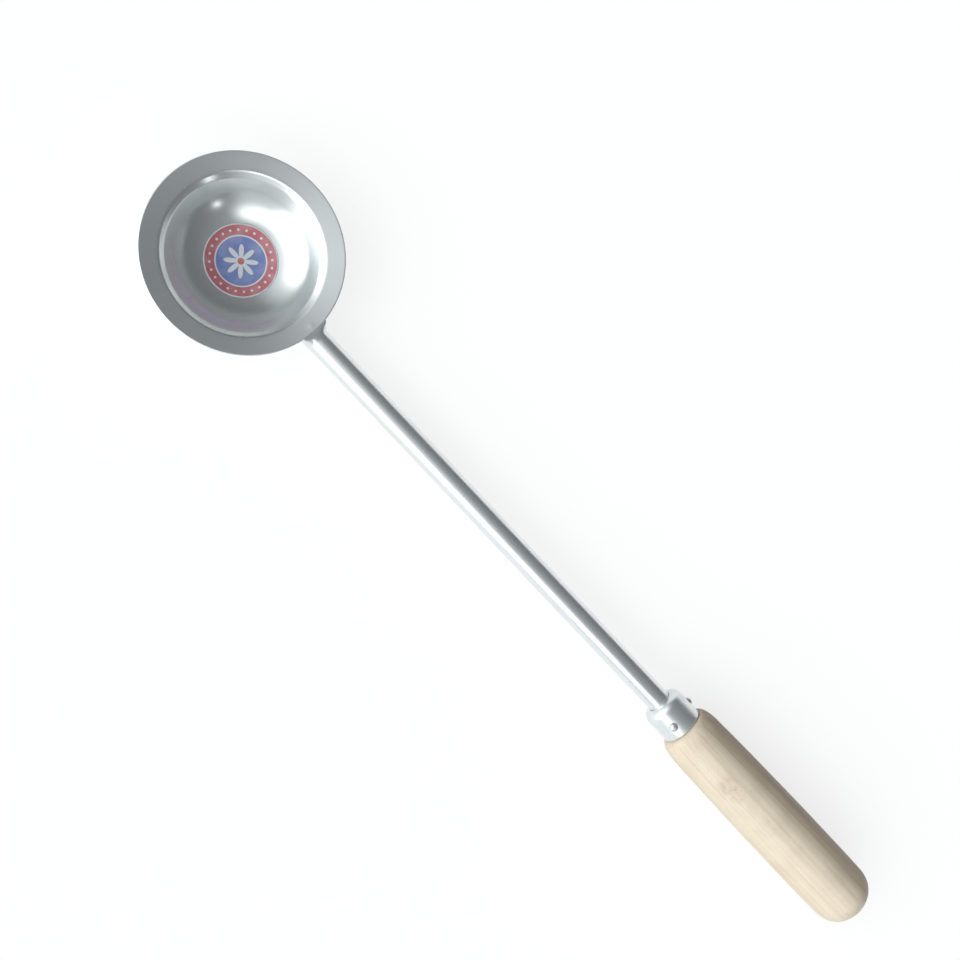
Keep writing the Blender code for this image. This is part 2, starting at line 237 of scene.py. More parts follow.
def bent_line(start, bends, shares, steps=4000):
    """Points and headings at shares of a line bent from straights and arcs. Each bend is a length
    and the degrees that the line turns over it. The heading is the sum of the turns so far, eased
    over a millimetre, and each point is the sum of the short steps that lead to it."""
    ends = np.cumsum([0.0] + [length for length, turn in bends])
    turns = np.radians(np.cumsum([0.0] + [turn for length, turn in bends]))
    fine = np.linspace(0.0, ends[-1], steps + 1)
    window = 2 * int(0.5 * BEND_EASE / fine[1]) + 1
    padded = np.pad(np.interp(fine, ends, turns), window // 2, mode="edge")
    heading = np.convolve(padded, np.ones(window) / window, mode="valid")
    middle = 0.5 * (heading[1:] + heading[:-1])
    across = start[0] + np.concatenate(([0.0], np.cumsum(fine[1] * np.cos(middle))))
    up = start[1] + np.concatenate(([0.0], np.cumsum(fine[1] * np.sin(middle))))
    at = shares * ends[-1]
    return np.interp(at, fine, across), np.interp(at, fine, up), np.interp(at, fine, heading)


def from_bowl(*parts):
    """Points given ahead, aside and above in the bowl's own axes, which lean about Y and start at
    the rim's centre."""
    points = np.stack(np.broadcast_arrays(*parts), axis=-1)
    return points @ np.array((BOWL_AHEAD, SIDE, BOWL_UP)) + RIM_CENTRE


dish_shares = np.unique(np.concatenate((
    np.linspace(0.0, 1.0, DISH_ROWS), np.linspace(*SHOULDER_SHARES, SHOULDER_ROWS))))
dish_out, dish_up, dish_heading = bent_line((0.0, -BOWL_DEPTH), BOWL_BENDS, dish_shares)
under_out = dish_out + SHEET * np.sin(dish_heading)
under_up = dish_up - SHEET * np.cos(dish_heading)


def bowl_grid():
    """The bowl's section turned about its axis: the dish from the middle out, a half round of the
    sheet's thickness at the edge, and the same line one sheet lower on the way back. The brim
    waves by a tenth of a millimetre, and has a small hump where the weld under it pulled. A number
    from 0 on the dish to 1 on the underside goes with each point."""
    edge_turn = np.linspace(0.0, math.pi, EDGE_ROWS + 2)[1:-1]
    ahead, above = 0.5 * SHEET * np.sin(edge_turn), 0.5 * SHEET * np.cos(edge_turn)
    cosine, sine = math.cos(dish_heading[-1]), math.sin(dish_heading[-1])
    edge_out = 0.5 * (dish_out[-1] + under_out[-1]) + ahead * cosine - above * sine
    edge_up = 0.5 * (dish_up[-1] + under_up[-1]) + ahead * sine + above * cosine
    section_out = np.concatenate((dish_out, edge_out, under_out[::-1]))
    section_up = np.concatenate((dish_up, edge_up, under_up[::-1]))
    under = np.concatenate((
        np.zeros(len(dish_out)), np.linspace(0.0, 1.0, EDGE_ROWS), np.ones(len(under_out))))
    out, turn = np.meshgrid(section_out, ring_turns(BOWL_COLUMNS), indexing="ij")
    brim = np.clip((out - BRIM_START) / BRIM_WIDTH, 0.0, 1.0)
    wave = BRIM_WAVE * np.sin(2.0 * turn + 0.7) + BRIM_FLUTTER * np.sin(5.0 * turn)
    away = (out - HUMP_OUT) ** 2 + (out * (turn - HUMP_TURN)) ** 2
    up = section_up[:, None] + brim * wave + HUMP_RISE * np.exp(-away / HUMP_SPREAD**2)
    points = from_bowl(out * np.cos(turn), out * np.sin(turn), up)
    return points, np.repeat(under[:, None], BOWL_COLUMNS, axis=1)


bowl_steel, tone, shader = new_finish("bowl_steel")
place = tone.laid(RIM_CENTRE, BOWL_LEAN)
x, y, z = place.axes()
out = x.span(y)
under = tone.node("Attribute", {"attribute_name": "under"}, {}, "Fac")
satin = out.between(*SATIN_EDGE)
passes = tone.node("CombineXYZ", {}, {
    "X": out * SPIN_LINES, "Y": x / out * SPIN_WANDER, "Z": y / out * SPIN_WANDER})
lines = passes.noise(1.0, 4.0)
rings = passes.stretched((4.0, 2.0, 2.0)).noise(1.0, 3.0)
smudge = place.noise(70.0, 3.0).between(0.35, 0.75)
joint = (x - JOINT_AHEAD).span(y, z + JOINT_BELOW)
straw = under * (1.0 - joint.between(*STRAW_REACH))
blue = under * (1.0 - joint.between(*BLUE_REACH))
colour = (lines * 0.30 + smudge * 0.35).blend(STEEL_LIGHT, STEEL_DARK)
colour = (straw * 0.75).blend(colour, STRAW_TINT)
colour = (blue * 0.7).blend(colour, BLUE_TINT)
height = lines * 0.5 + rings * 0.5
tone.fill(shader, {
    "Base Color": colour,
    "Metallic": 1.0,
    "Roughness": 0.20 + satin * 0.10 + smudge * 0.04 + rings * 0.04 + straw * 0.10,
    "Normal": height.bump(SPIN_GRAIN),
})
bowl_points, bowl_under = bowl_grid()
bowl = skin("bowl_spun", bowl_points, bowl_steel, marks={"under": bowl_under})
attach(bowl, "root")
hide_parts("bowl")


# Shaft: a straight length of half-inch stainless tube with a thin wall. Its front end is coped to
# the wall of the bowl, and its back end is the tang that the grip is driven onto.
# It is ground bright between rollers, which leaves faint rings round it and a few long marks.
SHAFT_START = np.array((-0.1558939, 0.0, 0.0089470))
ALONG = np.array((0.9997463, 0.0, 0.0225260))
CROWN = np.array((-0.0225260, 0.0, 0.9997463))
SHAFT_LEAN = math.atan2(ALONG[0], ALONG[2])
TUBE_RADIUS = 0.00635
TUBE_WALL = 0.0008
TUBE_BORE = TUBE_RADIUS - TUBE_WALL
TUBE_END = 0.3255
TUBE_ROWS = 70
TUBE_COLUMNS = 96
SEAM_GAP = 0.0003
COPE_FRONT = -0.030
SHAFT_STRAW = (-0.0160, 0.0)
SHAFT_GRAIN = 0.00001


def on_shaft(station, out, turn):
    """Points at stations along the shaft, some way out from its axis, turned from crown to +Y."""
    station, out, turn = np.broadcast_arrays(station, out, turn)
    radial = np.cos(turn)[..., None] * CROWN + np.sin(turn)[..., None] * SIDE
    return SHAFT_START + station[..., None] * ALONG + out[..., None] * radial


def in_bowl(points):
    """How far points are out from the bowl's axis, and how high above its rim."""
    away = points - RIM_CENTRE
    return np.hypot(away @ BOWL_AHEAD, away @ SIDE), away @ BOWL_UP


def halved(inside, low, high, times=40):
    """Where a test turns from true to false between low and high, found by halving the span."""
    for _ in range(times):
        middle = 0.5 * (low + high)
        holds = inside(middle)
        low = np.where(holds, middle, low)
        high = np.where(holds, high, middle)
    return 0.5 * (low + high)


def cope_station(out, turn):
    """The station at which a line along the tube leaves the outer wall of the bowl."""
    def inside_wall(station):
        reach, up = in_bowl(on_shaft(station, out, turn))
        return reach < np.interp(up, under_up, under_out) + SEAM_GAP
    return halved(inside_wall, np.full(np.shape(turn), COPE_FRONT), np.zeros(np.shape(turn)))


def tube_grid():
    """The tube's wall as one closed skin: out along the outside, back along the bore. Each line
    runs from its own coped start to the tang's end, with rows close together near the cope."""
    turn = ring_turns(TUBE_COLUMNS)
    share = np.linspace(0.0, 1.0, TUBE_ROWS)[:, None] ** 1.6
    outer_start = cope_station(TUBE_RADIUS, turn)
    inner_start = cope_station(TUBE_BORE, turn)
    lip = np.array((0.25, 0.75))[:, None] * TUBE_WALL
    outside = on_shaft(outer_start + share * (TUBE_END - outer_start), TUBE_RADIUS, turn)
    inside = on_shaft(inner_start + share * (TUBE_END - inner_start), TUBE_BORE, turn)
    ends = on_shaft(TUBE_END, TUBE_RADIUS - lip, turn)
    return np.concatenate((outside, ends, inside[::-1]))


shaft_steel, tone, shader = new_finish("shaft_steel")
place = tone.laid(SHAFT_START, SHAFT_LEAN)
station = place.axes()[2]
rings = place.stretched((60.0, 60.0, 3800.0)).noise(1.0, 3.0)
drawn = place.stretched((1500.0, 1500.0, 9.0)).noise(1.0, 3.0)
smudge = place.noise(85.0, 3.0).between(0.36, 0.74)
scratch = place.stretched((1.0, 1.0, 0.22)).hairlines(190.0, 0.006)
straw = 1.0 - station.between(*SHAFT_STRAW)
colour = (drawn * 0.25 + smudge * 0.35).blend(STEEL_LIGHT, STEEL_DARK)
colour = (straw * 0.6).blend(colour, STRAW_TINT)
height = rings * 0.5 + drawn * 0.6 - scratch * 0.7
tone.fill(shader, {
    "Base Color": colour,
    "Metallic": 1.0,
    "Roughness": 0.22 + smudge * 0.07 + rings * 0.04 + drawn * 0.05 + scratch * 0.10,
    "Normal": height.bump(SHAFT_GRAIN),
})
shaft = skin("shaft_tube_coped", tube_grid(), shaft_steel, loop=True)
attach(shaft, "root")
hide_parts("shaft_tube")


# Wall weld: one run of weld under the brim, round the coped end of the tube where it meets the
# side of the bowl. It is laid by hand with stainless wire, so it is rippled and tinted by its heat.
BEAD_RADIUS = 0.0015
BEAD_START = math.radians(42.0)
BEAD_ROWS = 300
BEAD_COLUMNS = 24
BEAD_RIPPLES = 17.0
BEAD_TAPER = 6.0
BEAD_GRAIN = 0.00003


def bead_grid():
    """A run of weld: round each point of the seam goes a circle in the plane of the tube's axis and
    its outward line. The radius ripples along the run and closes to nothing at both ends. Points
    that would come through the bowl are moved back to the middle of its sheet."""
    share = np.linspace(0.0, 1.0, BEAD_ROWS)[:, None]
    turn = BEAD_START + share * (2.0 * math.pi - 2.0 * BEAD_START)
    round_turn = ring_turns(BEAD_COLUMNS)[None, :]
    seam = cope_station(TUBE_RADIUS, turn)
    ripple = np.abs(np.sin(BEAD_RIPPLES * turn + 0.6 * np.cos(round_turn))) ** 0.6
    slow = 0.05 * np.sin(3.0 * turn + 1.1) + 0.04 * np.sin(7.0 * turn)
    ends = np.minimum(np.sin(math.pi * share) * BEAD_TAPER, 1.0)
    ends = np.sqrt(np.maximum(1.0 - (1.0 - ends) ** 2, 0.0))
    size = BEAD_RADIUS * ends * (0.90 + 0.10 * ripple + slow)
    station = seam + size * np.sin(round_turn)
    points = on_shaft(station, TUBE_RADIUS + size * np.cos(round_turn), turn)
    out, up = in_bowl(points)
    through = np.maximum(up - np.interp(out, dish_out, dish_up) + 0.5 * SHEET, 0.0)
    return points - through[..., None] * BOWL_UP


weld_steel, tone, shader = new_finish("weld_steel")
place = tone.laid(SHAFT_START, SHAFT_LEAN)
grain = place.noise(900.0, 4.0)
cloud = place.noise(240.0, 3.0).between(0.38, 0.66)
straw = place.noise(170.0, 2.0).between(0.50, 0.70)
colour = cloud.blend(STEEL_LIGHT, STEEL_DARK)
colour = (straw * 0.55).blend(colour, STRAW_TINT)
tone.fill(shader, {
    "Base Color": colour,
    "Metallic": 1.0,
    "Roughness": 0.22 + grain * 0.14 + cloud * 0.06,
    "Normal": grain.bump(BEAD_GRAIN),
})
wall_weld = skin("wall_weld_bead", bead_grid(), weld_steel)
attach(wall_weld, "root")
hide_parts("wall_weld")


# Rim weld: a flare of weld over the crown of the tube, where the edge of the brim lies on it.
# It is filed and polished afterwards, so the brim runs into the tube in a smooth hollow neck.
NECK_RIM_OUT = 0.0487
NECK_RIM_UP = -0.00032
NECK_NEAR_HALF = 0.0084
NECK_FAR_HALF = 0.0110
NECK_TURN = math.radians(74.0)
NECK_REACH = 0.0062
NECK_LEAVE = 0.0062
NECK_LEAVE_OUT = 0.94
NECK_LEAVE_UP = 0.20
NECK_LEAVE_SIDE = 0.82
NECK_ARRIVE = 0.00496
NECK_PROUD = 0.00002
NECK_SUNK = 0.0003
NECK_ROWS = 41
NECK_COLUMNS = 81
NECK_GRAIN = 0.000004


def flare_grid():
    """Curves from the edge of the brim to the tube, side by side across the crown. Each is a cubic
    that leaves along the slope of the brim and arrives along the tube. Straight under its points,
    in the tube's skin, lies the lower face. Both ends of the flare close onto it, and over the
    last quarter of each half its sides roll down to it."""
    span = np.linspace(-1.0, 1.0, NECK_COLUMNS)[None, :]
    side = np.where(span < 0.0, NECK_NEAR_HALF, NECK_FAR_HALF) * span
    out = np.sqrt(NECK_RIM_OUT**2 - side**2)
    edge = from_bowl(out, side, NECK_RIM_UP)
    leave = from_bowl(out + NECK_LEAVE * NECK_LEAVE_OUT, side * NECK_LEAVE_SIDE,
                      NECK_RIM_UP + NECK_LEAVE * NECK_LEAVE_UP) - edge
    reach = NECK_REACH * (1.0 - 0.25 * span**2)
    land = on_shaft(reach, TUBE_RADIUS + NECK_PROUD, NECK_TURN * span)
    arrive = NECK_ARRIVE * ALONG
    share = np.linspace(0.0, 1.0, NECK_ROWS)[:, None, None]
    top = ((1.0 + 2.0 * share) * (1.0 - share) ** 2 * edge + share * (1.0 - share) ** 2 * leave
           + share**2 * (3.0 - 2.0 * share) * land + share**2 * (share - 1.0) * arrive)
    away = top - SHAFT_START
    turn = np.arctan2(away @ SIDE, away @ CROWN)
    below = on_shaft(away @ ALONG, TUBE_RADIUS - NECK_SUNK, turn)
    roll = np.clip(4.0 * np.abs(span) - 3.0, 0.0, 1.0)[..., None] ** 2
    top = top + roll * (below - top)
    top = np.concatenate((below[:1], top, below[-1:]))
    below = np.concatenate((below[:1], below, below[-1:]))
    return np.concatenate((top, below[:, ::-1]), axis=1)


neck_steel, tone, shader = new_finish("neck_steel")
place = tone.laid(SHAFT_START, SHAFT_LEAN)
filed = place.stretched((900.0, 260.0, 260.0)).noise(1.0, 3.0)
smudge = place.noise(120.0, 3.0).between(0.36, 0.72)
tone.fill(shader, {
    "Base Color": (filed * 0.25 + smudge * 0.35).blend(STEEL_LIGHT, STEEL_DARK),
    "Metallic": 1.0,
    "Roughness": 0.25 + smudge * 0.06 + filed * 0.05,
    "Normal": filed.bump(NECK_GRAIN),
})
rim_weld = skin("rim_weld_flare", flare_grid(), neck_steel)
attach(rim_weld, "root")
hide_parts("rim_weld")


# Grip: a pale hardwood handle, turned on a lathe, bored for the tang and sanded smooth. A tenon at
# its front goes into the ferrule. It has a thin clear coat and has picked up a few marks. Its +Y
# side, turned away from the windows, is painted darker and browner: that is painted shade.
GRIP_START = 0.2755
GRIP_END = 0.4073
TENON_START = 0.2589
TENON_RADIUS = 0.0101
TENON_CHAMFER = 0.0027
BORE_RADIUS = 0.00665
GRIP_FACE_RADIUS = 0.0119
GRIP_FACE_INSET = 0.0004
GRIP_FRONT_RADIUS = 0.0154
GRIP_FRONT_ROUND = 0.0110
GRIP_SWELL_RADIUS = 0.0166
GRIP_SWELL_AT = 0.3693
GRIP_BACK_RADIUS = 0.0163
GRIP_BACK_ROUND = 0.0124
GRIP_BACK_FULL = 0.86
GRIP_END_FLAT = 0.0044
GRIP_FRONT_ROWS = 28
GRIP_RISE_ROWS = 59
GRIP_FALL_ROWS = 22
GRIP_BACK_ROWS = 48
GRIP_FLAT_ROWS = 5
GRIP_COLUMNS = 192
GRIP_OVAL = 0.00005
GRIP_LOBES = 0.00003
DENT_DEPTH = 0.00022
DENT_STATION = 0.3150
DENT_LENGTH = 0.0024
DENT_TURN = -0.42
DENT_WIDTH = 0.11
PITH_DOWN = 0.031
PITH_ASIDE = 0.034
YEAR_RING = 0.0024
RING_DRIFT = 0.0030
MARK_PLACE = (-0.0144, -0.0066, 0.3110)
MARK_LENGTHENED = math.sqrt(0.30)
MARK_REACH = (0.0020, 0.0070)
# Where the painted shade on the grip's +Y side starts and ends, and how its edge wanders.
PAINTED_SHADE_EDGE = (0.001, 0.020)
PAINTED_SHADE_DRIFT = 0.006
PAINTED_SHADE_STREAKS = 0.002
WOOD_GRAIN = 0.00004
WOOD_PALE = (0.83, 0.735, 0.58, 1.0)
WOOD_TAN = (0.65, 0.52, 0.37, 1.0)
WOOD_FLECK = (0.46, 0.34, 0.24, 1.0)
WOOD_MARK = (0.43, 0.31, 0.22, 1.0)
# Browns of the painted shade on the grip's +Y side, the side turned away from the windows.
WOOD_PAINTED_SHADE = (0.51, 0.375, 0.25, 1.0)
WOOD_PAINTED_SHADE_GRAIN = (0.30, 0.205, 0.13, 1.0)


def swept_arc(centre, wide, long, start, stop, count, full=1.0):
    """Stations and radii on part of an ellipse about a centre given as station and radius. Sine and
    cosine are raised to a power, and one under 1 fills the corner out."""
    angle = np.radians(np.linspace(start, stop, count))
    sine, cosine = np.sin(angle), np.maximum(np.cos(angle), 0.0)
    station = centre[0] + long * np.sign(sine) * np.abs(sine) ** full
    return station, centre[1] + wide * cosine**full


def grip_grid():
    """The grip's section turned about the shaft's axis: from the blind end of the bore out to the
    tenon, over the rounded front, along two parabolas that meet at the swell, and round the back.
    Sanding leaves the side out of round by less than a tenth of a millimetre, and it has a dent."""
    front = GRIP_START + GRIP_FRONT_ROUND
    back = GRIP_END - GRIP_BACK_ROUND
    bore_end = TUBE_END + SEAM_GAP
    rise = np.linspace(front, GRIP_SWELL_AT, GRIP_RISE_ROWS + 1)[1:]
    fall = np.linspace(GRIP_SWELL_AT, back, GRIP_FALL_ROWS + 2)[1:-1]
    flat = np.linspace(GRIP_END_FLAT, 0.0, GRIP_FLAT_ROWS + 1)[1:]
    rise_out = GRIP_SWELL_RADIUS - (GRIP_SWELL_RADIUS - GRIP_FRONT_RADIUS) * (
        (GRIP_SWELL_AT - rise) / (GRIP_SWELL_AT - front)) ** 2
    fall_out = GRIP_SWELL_RADIUS - (GRIP_SWELL_RADIUS - GRIP_BACK_RADIUS) * (
        (fall - GRIP_SWELL_AT) / (back - GRIP_SWELL_AT)) ** 2
    tenon = np.array((
        (bore_end, 0.0),
        (bore_end, BORE_RADIUS),
        (TENON_START, BORE_RADIUS),
        (TENON_START, TENON_RADIUS - TENON_CHAMFER),
        (TENON_START + TENON_CHAMFER, TENON_RADIUS),
        (GRIP_START, TENON_RADIUS),
        (GRIP_START, GRIP_FACE_RADIUS - GRIP_FACE_INSET),
    ))
    round_front = swept_arc((front, GRIP_FACE_RADIUS), GRIP_FRONT_RADIUS - GRIP_FACE_RADIUS,
                            GRIP_FRONT_ROUND, -90.0, 0.0, GRIP_FRONT_ROWS)
    round_back = swept_arc((back, GRIP_END_FLAT), GRIP_BACK_RADIUS - GRIP_END_FLAT,
                           GRIP_BACK_ROUND, 0.0, 90.0, GRIP_BACK_ROWS, GRIP_BACK_FULL)
    station = np.concatenate((
        tenon[:, 0], round_front[0], rise, fall, round_back[0], np.full(GRIP_FLAT_ROWS, GRIP_END)))
    out = np.concatenate((
        tenon[:, 1], round_front[1], rise_out, fall_out, round_back[1], flat))
    station, turn = np.meshgrid(station, ring_turns(GRIP_COLUMNS), indexing="ij")
    side = np.clip((station - GRIP_START) / GRIP_FRONT_ROUND, 0.0, 1.0)
    uneven = (GRIP_OVAL * np.sin(2.0 * turn + 40.0 * station)
              + GRIP_LOBES * np.sin(3.0 * turn - 150.0 * station))
    dent = DENT_DEPTH * np.exp(-((station - DENT_STATION) / DENT_LENGTH) ** 2
                               - ((turn - DENT_TURN) / DENT_WIDTH) ** 2)
    out = out[:, None] * (1.0 + side * (uneven - dent) / GRIP_SWELL_RADIUS)
    return on_shaft(station, out, turn)


grip_wood, tone, shader = new_finish("grip_wood")
place = tone.laid(SHAFT_START, SHAFT_LEAN)
x, y, z = place.axes()
drift = place.stretched((60.0, 60.0, 11.0)).noise(1.0, 2.0)
years = ((x - PITH_DOWN).span(y + PITH_ASIDE) + drift * RING_DRIFT) / YEAR_RING
late = (tone.math("SINE", years * (2.0 * math.pi)) * 0.5 + 0.5) ** 2.5
fibre = place.stretched((2600.0, 2600.0, 70.0)).noise(1.0, 4.0)
streak = place.stretched((420.0, 420.0, 16.0)).noise(1.0, 3.0).between(0.42, 0.68)
fleck = place.stretched((2300.0, 2300.0, 330.0)).noise(1.0, 1.0).between(0.66, 0.74)
mottle = place.noise(75.0, 3.0).between(0.40, 0.70)
spots = place.noise(250.0, 2.0).between(0.42, 0.66)
reach = (x - MARK_PLACE[0]).span(y - MARK_PLACE[1], (z - MARK_PLACE[2]) * MARK_LENGTHENED)
mark = (1.0 - reach.between(*MARK_REACH)) * (spots * 0.75 + 0.25)
# Painted shade: the +Y side of the grip, away from the windows, is blended towards darker brown
# with its own grain.
painted_shade_side = (y + drift * PAINTED_SHADE_DRIFT + streak * PAINTED_SHADE_STREAKS).between(*PAINTED_SHADE_EDGE)
wood_grain_colour = (late * 0.14 + streak * 0.30 + fibre * 0.16 - 0.06).blend(WOOD_PALE, WOOD_TAN)
painted_shade_wood = (late * 0.25 + streak * 0.45 + fibre * 0.30).blend(WOOD_PAINTED_SHADE, WOOD_PAINTED_SHADE_GRAIN)
colour = (painted_shade_side * 0.72).blend(wood_grain_colour, painted_shade_wood)
colour = (fleck * 0.30).blend(colour, WOOD_FLECK)
colour = (mottle * 0.14 + mark * 0.45).blend(colour, WOOD_MARK)
height = fibre * 0.6 + late * 0.25 - fleck * 0.7
tone.fill(shader, {
    "Base Color": colour,
    "Roughness": 0.46 + fibre * 0.12 + fleck * 0.15 - mottle * 0.06,
    "Coat Weight": 0.15,
    "Coat Roughness": 0.45,
    "Normal": height.bump(WOOD_GRAIN),
})
grip = skin("grip_turned", grip_grid(), grip_wood)
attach(grip, "root")
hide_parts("grip")


# Ferrule: a cup pressed from thin stainless sheet, with a rounded shoulder and a hole for the tube.
# It covers the tenon and keeps the wood from splitting. Each nail pulls its side in a little.
FERRULE_START = 0.2575
FERRULE_END = 0.2752
FERRULE_RADIUS = 0.0112
FERRULE_WALL = 0.0008
FERRULE_SHOULDER = 0.00387
FERRULE_HOLE = TUBE_RADIUS + 0.0001
FERRULE_LIP_ROWS = 9
FERRULE_SHOULDER_ROWS = 18
FERRULE_SIDE_ROWS = 25
FERRULE_COLUMNS = 160
FERRULE_GRAIN = 0.000012
NAIL_STATION = 0.2687
NAIL_TURNS = np.radians((-30.0, 90.0, 210.0))
NAIL_PULL = 0.00014
NAIL_PULL_SPREAD = 0.0026


def ferrule_grid():
    """The cup's closed section turned about the shaft's axis: the rolled lip of the hole, the
    shoulder, the side and its rounded end, then the same one wall further in on the way back.
    A bell-shaped dent of a tenth of a millimetre is pressed in round each nail."""
    turn_in = np.radians(np.linspace(0.0, 90.0, FERRULE_SHOULDER_ROWS))
    lip = np.radians(np.linspace(-90.0, 90.0, FERRULE_LIP_ROWS))
    half = 0.5 * FERRULE_WALL
    centre_out = FERRULE_RADIUS - FERRULE_SHOULDER
    centre_at = FERRULE_START + FERRULE_SHOULDER
    small = FERRULE_SHOULDER - FERRULE_WALL
    side = np.linspace(centre_at, FERRULE_END - half, FERRULE_SIDE_ROWS + 1)[1:]
    station = np.concatenate((
        FERRULE_START + half - half * np.sin(lip),
        centre_at - FERRULE_SHOULDER * np.cos(turn_in),
        side,
        FERRULE_END - half + half * np.cos(lip),
        side[::-1],
        centre_at - small * np.cos(turn_in[::-1]),
    ))
    out = np.concatenate((
        FERRULE_HOLE + half - half * np.cos(lip),
        centre_out + FERRULE_SHOULDER * np.sin(turn_in),
        np.full(FERRULE_SIDE_ROWS, FERRULE_RADIUS),
        FERRULE_RADIUS - half - half * np.sin(lip),
        np.full(FERRULE_SIDE_ROWS, FERRULE_RADIUS - FERRULE_WALL),
        centre_out + small * np.sin(turn_in[::-1]),
    ))
    station, turn = np.meshgrid(station, ring_turns(FERRULE_COLUMNS), indexing="ij")
    away = (turn[..., None] - NAIL_TURNS + math.pi) % (2.0 * math.pi) - math.pi
    span = (away * FERRULE_RADIUS) ** 2 + (station[..., None] - NAIL_STATION) ** 2
    dent = NAIL_PULL * np.exp(-span / NAIL_PULL_SPREAD**2).sum(axis=-1)
    return on_shaft(station, out[:, None] - dent, turn)


ferrule_steel, tone, shader = new_finish("ferrule_steel")
place = tone.laid(SHAFT_START, SHAFT_LEAN)
rings = place.stretched((90.0, 90.0, 2600.0)).noise(1.0, 3.0)
smudge = place.noise(160.0, 3.0).between(0.36, 0.70)
scratch = place.hairlines(260.0, 0.007)
height = rings - scratch
tone.fill(shader, {
    "Base Color": (smudge * 0.5 + rings * 0.2).blend(STEEL_LIGHT, STEEL_DARK),
    "Metallic": 1.0,
    "Roughness": 0.31 + smudge * 0.09 + rings * 0.06 + scratch * 0.1,
    "Normal": height.bump(FERRULE_GRAIN),
})
ferrule = skin("ferrule_pressed", ferrule_grid(), ferrule_steel, loop=True)
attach(ferrule, "root")
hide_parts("ferrule")


# Nails: three round-headed steel nails, spaced evenly round the ferrule and driven through it into
# the tenon. The heads are domed, and each has a few small flats from the hammer.
NAIL_SHANK_RADIUS = 0.0010
NAIL_SHANK_LENGTH = 0.0080
NAIL_POINT_LENGTH = 0.0016
NAIL_HEAD_RADIUS = 0.0022
NAIL_HEAD_HEIGHT = 0.0014
NAIL_HEAD_EDGE = 0.00008
NAIL_NECK = 0.0003
NAIL_SEAT = 0.0115
NAIL_DOME_ROWS = 20
NAIL_COLUMNS = 40
NAIL_FLATS = 0.00005
NAIL_GRAIN = 0.00003
NAIL_BRIGHT = (0.76, 0.78, 0.79, 1.0)
NAIL_DULL = (0.62, 0.64, 0.65, 1.0)


def nail_grid(nail_turn):
    """A nail's section turned about a line out from the shaft's axis: a half-ellipse dome, the
    underside of the head, the shank and its point. Waves round the dome leave hammered flats."""
    dome = np.linspace(0.0, math.pi / 2.0, NAIL_DOME_ROWS)
    below = np.array((
        (NAIL_HEAD_RADIUS * 0.97, -NAIL_HEAD_EDGE),
        (NAIL_SHANK_RADIUS * 1.1, -NAIL_HEAD_EDGE),
        (NAIL_SHANK_RADIUS, -NAIL_NECK),
        (NAIL_SHANK_RADIUS, NAIL_POINT_LENGTH - NAIL_SHANK_LENGTH),
        (0.0, -NAIL_SHANK_LENGTH),
    ))
    wide = np.concatenate((NAIL_HEAD_RADIUS * np.sin(dome), below[:, 0]))
    high = np.concatenate((NAIL_HEAD_HEIGHT * np.cos(dome), below[:, 1]))[:, None]
    wide, round_turn = np.meshgrid(wide, ring_turns(NAIL_COLUMNS), indexing="ij")
    flats = (NAIL_FLATS * np.sin(3.0 * round_turn + nail_turn * 5.0)
             * np.sin(math.pi * np.clip(wide / NAIL_HEAD_RADIUS, 0.0, 1.0)))
    high = NAIL_SEAT + high + flats * (high > 0.0)
    radial = math.cos(nail_turn) * CROWN + math.sin(nail_turn) * SIDE
    sideways = np.cross(ALONG, radial)
    centre = SHAFT_START + NAIL_STATION * ALONG
    return (centre + high[..., None] * radial + (wide * np.cos(round_turn))[..., None] * ALONG
            + (wide * np.sin(round_turn))[..., None] * sideways)


nail_steel, tone, shader = new_finish("nail_steel")
place = tone.laid(SHAFT_START, SHAFT_LEAN)
pitted = place.noise(1500.0, 3.0)
dull = place.noise(500.0, 3.0).between(0.38, 0.66)
tone.fill(shader, {
    "Base Color": dull.blend(NAIL_BRIGHT, NAIL_DULL),
    "Metallic": 1.0,
    "Roughness": 0.30 + dull * 0.14,
    "Normal": pitted.bump(NAIL_GRAIN),
})
for number, nail_turn in enumerate(NAIL_TURNS, start=1):
    nail = skin(f"ferrule_nail_domed_{number}", nail_grid(nail_turn), nail_steel)
    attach(nail, "root")
    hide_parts(f"ferrule_nail_{number}")


# Label: a round paper sticker on the floor of the bowl, with a thin gloss film over its print.
# It is pressed on by hand after polishing, so it puckers where the floor starts to curve upwards.
LABEL_RADIUS = 0.0184
LABEL_THICKNESS = 0.0002
LABEL_GLUE = 0.00003
LABEL_ROWS = 40
LABEL_COLUMNS = 180
PUCKER_START = 0.0115
PUCKER_HEIGHT = 0.00006
CORNER_LIFT = 0.0003
CORNER_TURN = 2.2
CORNER_SPREAD = 0.22
DOT_COUNT = 24.0
DOT_RING = 0.0154
DOT_EDGE = (0.00055, 0.00075)
PETAL_COUNT = 8.0
PETAL_REACH = 0.0062
PETAL_EDGE = (0.0022, 0.0025)
EYE_EDGE = (0.0016, 0.0018)
FIELD_EDGE = (0.0122, 0.0124)
LINE_EDGE = (0.0129, 0.0131)
BORDER_EDGE = (0.0177, 0.0179)
PRINT_GRAIN = 0.000006
LABEL_RED = (0.52, 0.12, 0.14, 1.0)
LABEL_BLUE = (0.14, 0.21, 0.53, 1.0)
LABEL_PALE = (0.74, 0.78, 0.82, 1.0)


